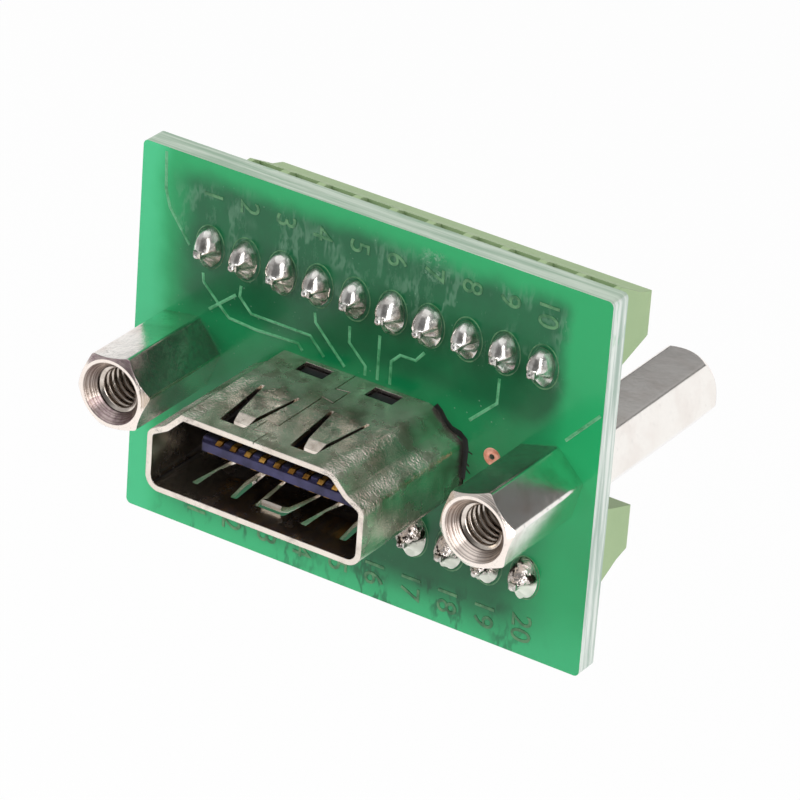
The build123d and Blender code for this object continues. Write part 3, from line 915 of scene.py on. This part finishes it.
# Traces: flat ridges under the coating, by their corners on the board's front, in mm
traceLook = {
    "width": 0.2,
    "flat": 0.3,
    "runs": (
        ((-11.52, 5.3), (-11.44, 4.72), (-10.34, 3.68), (-9.53, 2.99), (-7.58, 2.86),
         (-4.67, 2.99), (-4.32, 2.61)),
        ((-8.82, 5.34), (-8.88, 4.62), (-8.01, 3.77), (-3.87, 3.76), (-2.83, 2.72)),
        ((-3.66, 5.33), (-3.56, 4.72), (-1.39, 2.57)),
        ((-1.22, 5.27), (-1.19, 4.23), (0.01, 3.1), (0.02, 2.5)),
        ((0.84, 5.37), (0.87, 2.5)),
        ((3.9, 5.3), (3.35, 4.6), (2.31, 4.59), (1.73, 3.99), (1.73, 2.5)),
        ((8.96, 5.39), (8.93, 3.77), (7.21, 2.1)),
        ((-10.96, 3.1), (-9.14, 4.63)),
        ((13.59, 3.03), (15.68, 5.33)),
        ((-14.51, 12.2), (-14.41, 9.8), (-14.07, 8.72), (-12.56, 6.75)),
    ),
}


def ribbon(name, runs, width, flat):
    curve = bpy.data.curves.new(name, "CURVE")
    curve.dimensions = "3D"
    curve.bevel_depth = width * mm / 2
    curve.bevel_resolution = 2
    curve.use_fill_caps = True
    for run in runs:
        spline = curve.splines.new("POLY")
        spline.points.add(len(run) - 1)
        for point, (x, z) in zip(spline.points, run):
            point.co = (x * mm, 0, z * mm, 1)
    piece = bpy.data.objects.new(name, curve)
    bpy.context.collection.objects.link(piece)
    pick(piece)
    bpy.ops.object.convert(target="MESH")
    piece = bpy.context.object
    settle(piece, (0, 0, 0), (0, 0, 0), (1, flat, 1))
    settle(piece, (0, boardFront, 0))
    roundOff(piece, 50)
    return piece


traces = ribbon("frontTraces", traceLook["runs"], traceLook["width"], traceLook["flat"])
mount(traces, finishes["trace"])

# A dark line along the shell's right foot, with small spurs, by its points in mm
darkFootLook = {
    "width": 0.42,
    "run": (
        (4.9, 2.26), (5.26, 1.98), (5.62, 1.5), (6.06, 1.15), (6.66, 1.02),
        (7.02, 0.74), (7.12, 0.25), (7.09, -0.48), (7.06, -1.0), (7.03, -1.75),
    ),
    "spurs": (
        ((7.1, 0.15), (7.6, 0.0)),
        ((7.1, -0.6), (7.45, -0.85)),
        ((7.1, -0.9), (7.55, -1.3)),
    ),
    "spurWidth": 0.1,
    "flat": 0.3,
}


def darkFootLine():
    flat = darkFootLook["flat"]
    main = ribbon("darkFootMain", (darkFootLook["run"],), darkFootLook["width"], flat)
    side = ribbon("darkFootSpurs", darkFootLook["spurs"], darkFootLook["spurWidth"], flat)
    return fuse([main, side], "darkFootLine")


mount(darkFootLine(), finishes["darkFoot"])

# Plain numbers beside the poles, read from above
numberLook = {"size": 1.9, "rise": 3.35, "thickness": 0.03}


def poleNumbers():
    sideways = Matrix(((0, 1, 0, 0), (0, 0, -1, 0), (-1, 0, 0, 0), (0, 0, 0, 1)))
    words = []
    for row, order, start in (("upper", 1, 1), ("lower", -1, 1 + poleCount)):
        rise = Vector((0, 0, order * numberLook["rise"] * mm))
        for pole, spot in enumerate(poleSpots(row)):
            bpy.ops.object.text_add()
            word = bpy.context.object
            word.data.body = str(start + pole)
            word.data.size = numberLook["size"] * mm
            word.data.extrude = numberLook["thickness"] * mm
            word.data.align_x = "CENTER"
            word.data.align_y = "CENTER"
            pick(word)
            bpy.ops.object.convert(target="MESH")
            word = bpy.context.object
            word.data.transform(sideways)
            word.data.transform(Matrix.Translation(Vector(spot) + rise))
            words.append(word)
    return fuse(words, "poleNumbers")


mount(poleNumbers(), finishes["number"])

# Copper ring round the via
viaLook = {"x": 8.9, "z": 0.3, "radius": 0.37, "upright": 1.0, "thickness": 0.2, "flat": 0.4}
viaRing = flatRing("viaRing", viaLook, (viaLook["x"] * mm, boardFront, viaLook["z"] * mm))
roundOff(viaRing)
mount(viaRing, finishes["copper"])
print("board details made")

# Floor, far enough below that the object's shadow stays soft
floorLook = {
    "height": -0.16,
    "reach": 1.6,
    "sides": 48,
    "white": (1.0, 1.0, 1.0, 1.0),
    "seenWhite": 0.93,
    "mirroredWhite": 1.0,
}


def floorFinish():
    finish = Finish("floorFinish", Roughness=0.9)
    finish.feed(finish.shader.inputs["Base Color"], floorLook["white"])
    glow = finish.add("ShaderNodeEmission", {}, {"Color": floorLook["white"], "Strength": 1.0})
    camera = finish.add("ShaderNodeLightPath", output="Is Camera Ray")
    glossy = finish.add("ShaderNodeLightPath", output="Is Glossy Ray")
    plain = Signal(finish, finish.shader.outputs[0])
    share = camera * floorLook["seenWhite"] + glossy * floorLook["mirroredWhite"]
    both = finish.add("ShaderNodeMixShader", {}, {0: share, 1: plain, 2: glow})
    output = [node for node in finish.tree.nodes if node.type == "OUTPUT_MATERIAL"][0]
    finish.feed(output.inputs[0], both)
    return finish.material


bpy.ops.mesh.primitive_circle_add(
    vertices=floorLook["sides"],
    radius=floorLook["reach"],
    fill_type="NGON",
    location=(0, 0, floorLook["height"]),
)
floor = bpy.context.object
floor.name = "paleFloor"
settle(floor, floor.location)
floor.data.materials.append(floorFinish())

# Soft light from large lamps, and a studio that is white behind and below, dark above
lampLook = {
    "keyLamp": {
        "spot": (-0.42, -0.34, 0.42), "size": (0.5, 0.5), "power": 3.0, "mirrored": False,
    },
    "stripLamp": {
        "spot": (0.56, -0.3, 0.16), "size": (0.22, 0.9), "power": 2.6, "mirrored": True,
    },
}
for name, look in lampLook.items():
    lamp = bpy.data.lights.new(name, "AREA")
    lamp.shape = "RECTANGLE"
    lamp.size, lamp.size_y = look["size"]
    lamp.energy = look["power"]
    holder = bpy.data.objects.new(name, lamp)
    holder.location = look["spot"]
    holder.rotation_euler = Vector(look["spot"]).to_track_quat("Z", "Y").to_euler()
    holder.visible_glossy = look["mirrored"]
    bpy.context.collection.objects.link(holder)

# A band's light starts between its first two heights and adds its third number
worldLook = {
    "ceiling": 0.09,
    "lowBand": (0.5, 0.58, 0.33),
    "highBand": (0.8, 0.9, 0.55),
    "behindFrom": (-0.2, 0.25),
    "backdropTo": (0.32, 0.36),
    "front": 0.12,
    "west": 0.34,
    "eastFrom": (-0.6, -0.15),
    "frontLow": (0.1, 0.5, 0.06),
    "frontHigh": (0.76, 0.86, 0.7),
}


def band(direction, name):
    low, high, strength = worldLook[name]
    return direction.ramp(low, high) * strength


world = bpy.data.worlds.new("studio")
bpy.context.scene.world = world
world.use_nodes = True
studio = Wiring(world.node_tree)
direction = studio.add("ShaderNodeTexCoord", output="Generated")
east, north, up = studio.parts(direction)
behind = north.ramp(*worldLook["behindFrom"])
ceiling = worldLook["ceiling"] + band(up, "lowBand") + band(up, "highBand")
backdrop = 1.0 - up.ramp(*worldLook["backdropTo"]) * (1.0 - ceiling)
west = (1 - east.ramp(*worldLook["eastFrom"])) * worldLook["west"]
front = worldLook["front"] + west + band(up, "frontLow") + band(up, "frontHigh")
strength = front + behind * (backdrop - front)
isCamera = studio.add("ShaderNodeLightPath", output="Is Camera Ray")
strength = strength + isCamera * (1.0 - strength)
glow = studio.add("ShaderNodeBackground", {}, {"Color": (1, 1, 1, 1), "Strength": strength})
worldOutput = studio.tree.nodes.new("ShaderNodeOutputWorld")
studio.feed(worldOutput.inputs["Surface"], glow)

# Camera at the photograph's place
cameraLook = {
    "azimuth": 31.137,
    "elevation": 28.056,
    "roll": 4.34,
    "distance": 310.603,
    "target": (2.509, 7.5, 1.757),
    "lens": 243.44,
    "reach": (0.01, 5),
}
azimuth = math.radians(cameraLook["azimuth"])
elevation = math.radians(cameraLook["elevation"])
roll = math.radians(cameraLook["roll"])
away = Vector((
    math.sin(azimuth) * math.cos(elevation),
    -math.cos(azimuth) * math.cos(elevation),
    math.sin(elevation),
))
level = (-away).cross(Vector((0, 0, 1))).normalized()
lift = level.cross(-away)
sideways = math.cos(roll) * level + math.sin(roll) * lift
upwards = -math.sin(roll) * level + math.cos(roll) * lift
camera = bpy.data.objects.new("camera", bpy.data.cameras.new("camera"))
bpy.context.collection.objects.link(camera)
camera.data.lens = cameraLook["lens"]
camera.data.clip_start, camera.data.clip_end = cameraLook["reach"]
turn = Matrix((sideways, upwards, away)).transposed().to_4x4()
spot = (Vector(cameraLook["target"]) + away * cameraLook["distance"]) * mm
camera.matrix_world = Matrix.Translation(spot) @ turn
bpy.context.scene.camera = camera
bpy.context.scene.view_settings.view_transform = "Standard"
print("studio and camera set")
